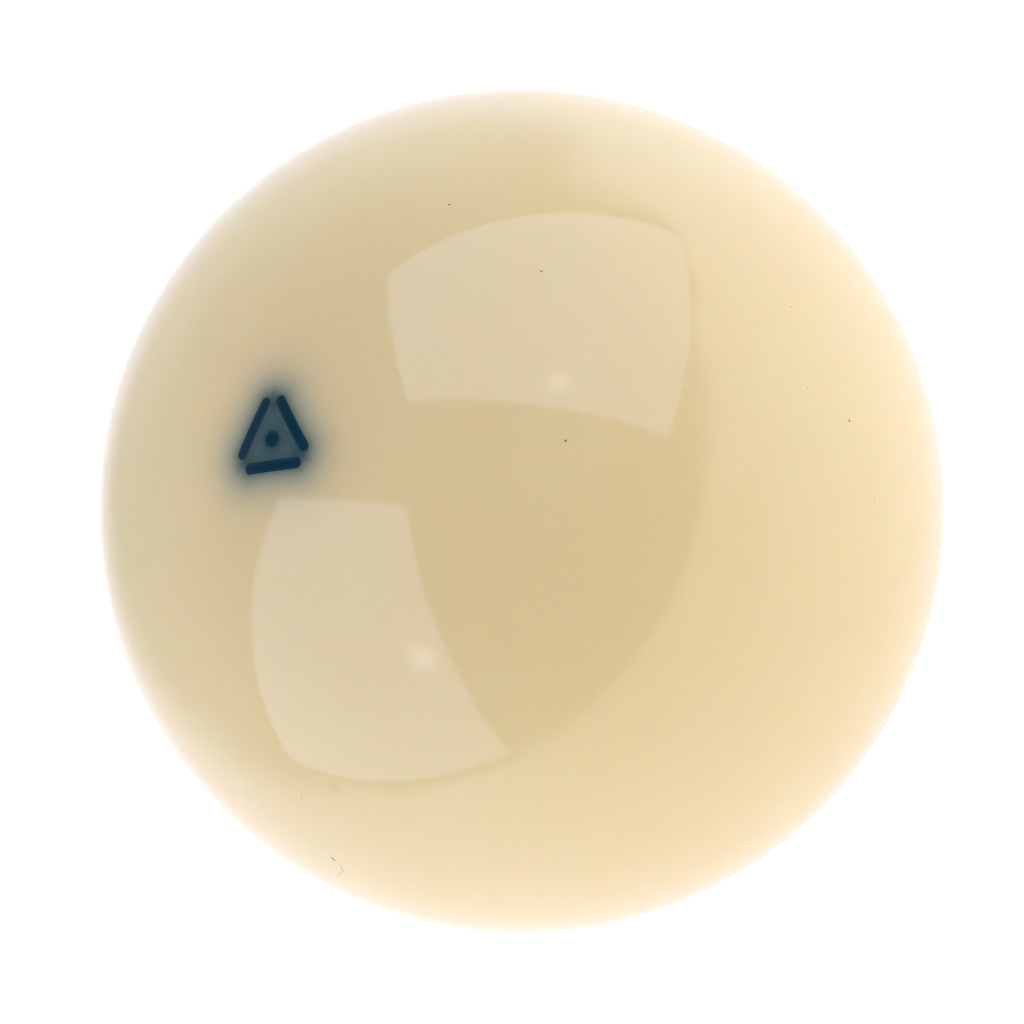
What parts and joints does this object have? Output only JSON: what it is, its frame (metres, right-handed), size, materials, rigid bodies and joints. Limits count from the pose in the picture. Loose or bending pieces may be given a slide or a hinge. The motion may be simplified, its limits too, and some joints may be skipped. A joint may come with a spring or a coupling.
{
  "type": "cue ball",
  "caption": "Glossy off-white pool cue ball of cast resin, with a small flush inlaid mark: three blue bars that form an open-cornered triangle around a dot.",
  "frame": {"origin": "centre of the ball", "axes": "+Z out through the middle of the inlaid mark, +Y towards the open corner at the top of the mark, +X to the right of a person reading the mark"},
  "size_m": [0.0572, 0.0572, 0.0572],
  "materials": {
    "ball_resin": "warm off-white cast phenolic resin, slightly translucent, ground round and polished to a mirror gloss; smoky blue-grey between and close to the inlaid plugs",
    "inlay_resin": "dark teal-blue cast phenolic resin, ground flush with the ball and polished with it"
  },
  "bodies": {
    "root": {"ball_body": "ball_resin", "inlay_bar_base": "inlay_resin", "inlay_bar_right": "inlay_resin", "inlay_bar_left": "inlay_resin", "inlay_dot": "inlay_resin"}
  },
  "joints": []
}
